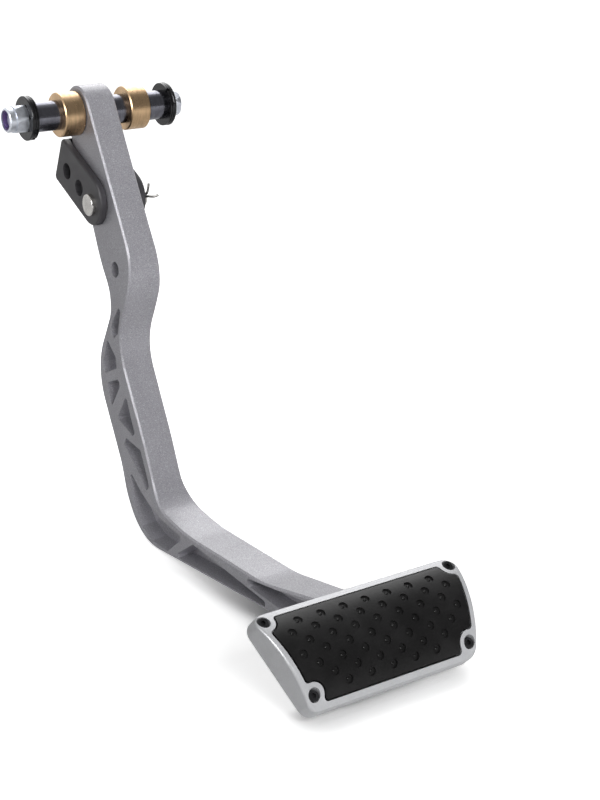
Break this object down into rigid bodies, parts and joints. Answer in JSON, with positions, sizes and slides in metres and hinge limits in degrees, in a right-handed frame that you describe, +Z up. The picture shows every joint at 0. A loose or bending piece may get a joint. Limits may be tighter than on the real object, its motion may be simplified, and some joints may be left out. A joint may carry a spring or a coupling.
{
  "type": "brake pedal",
  "caption": "Hanging brake pedal: ribbed, powder-coated arm on a bushed pivot bolt, a pushrod fork on a clevis pin, and a satin metal pad with a dimpled rubber face.",
  "frame": {"origin": "on the pivot axis, midway through the thickness of the arm's head", "axes": "+X along the pivot bolt to the driver's right (towards the bolt head), +Y away from the driver (towards the pushrod side), +Z up"},
  "size_m": [0.12, 0.3264, 0.2581],
  "materials": {
    "arm_coat": "speckled grey powder coat",
    "fork_coat": "satin black",
    "black_steel": "black oxide, glossy",
    "zinc_steel": "bright zinc",
    "nylon": "matte",
    "bronze": "turned bronze",
    "bright_steel": "bright nickel",
    "cotter_steel": "plain steel",
    "pad_metal": "satin",
    "pad_rubber": "satin rubber",
    "plate_steel": "satin grey",
    "screw_steel": "black oxide"
  },
  "bodies": {
    "pivot": {"pivot_bolt": "zinc_steel", "lock_nut": "zinc_steel", "nut_nylon_insert": "nylon", "pivot_sleeve": "black_steel", "washer_left": "black_steel", "washer_right": "black_steel", "retaining_ring_left": "black_steel", "retaining_ring_right": "black_steel", "bushing_left": "bronze", "bushing_right": "bronze"},
    "arm": {"brake_arm": "arm_coat", "arm_foot": "arm_coat", "pad_frame": "pad_metal", "pad_rubber": "pad_rubber", "pad_back_plate": "plate_steel", "pad_screw_upper_left": "screw_steel", "pad_screw_upper_right": "screw_steel", "pad_screw_lower_left": "screw_steel", "pad_screw_lower_right": "screw_steel", "foot_bolt_left": "zinc_steel", "foot_bolt_right": "zinc_steel"},
    "fork": {"clevis_fork": "fork_coat", "clevis_pin": "bright_steel", "cotter_pin": "cotter_steel"}
  },
  "joints": [
    {"name": "pedal_hinge", "type": "hinge", "parent": "pivot", "child": "arm", "pos_m": [0, 0, 0], "axis": [1, 0, 0], "range_deg": [0, 22], "stiffness_Nm_per_rad": 3, "springref_deg": -57.3},
    {"name": "fork_hinge", "type": "hinge", "parent": "arm", "child": "fork", "pos_m": [0, -0.0222, -0.049], "axis": [1, 0, 0], "range_deg": [-25, 2]}
  ]
}
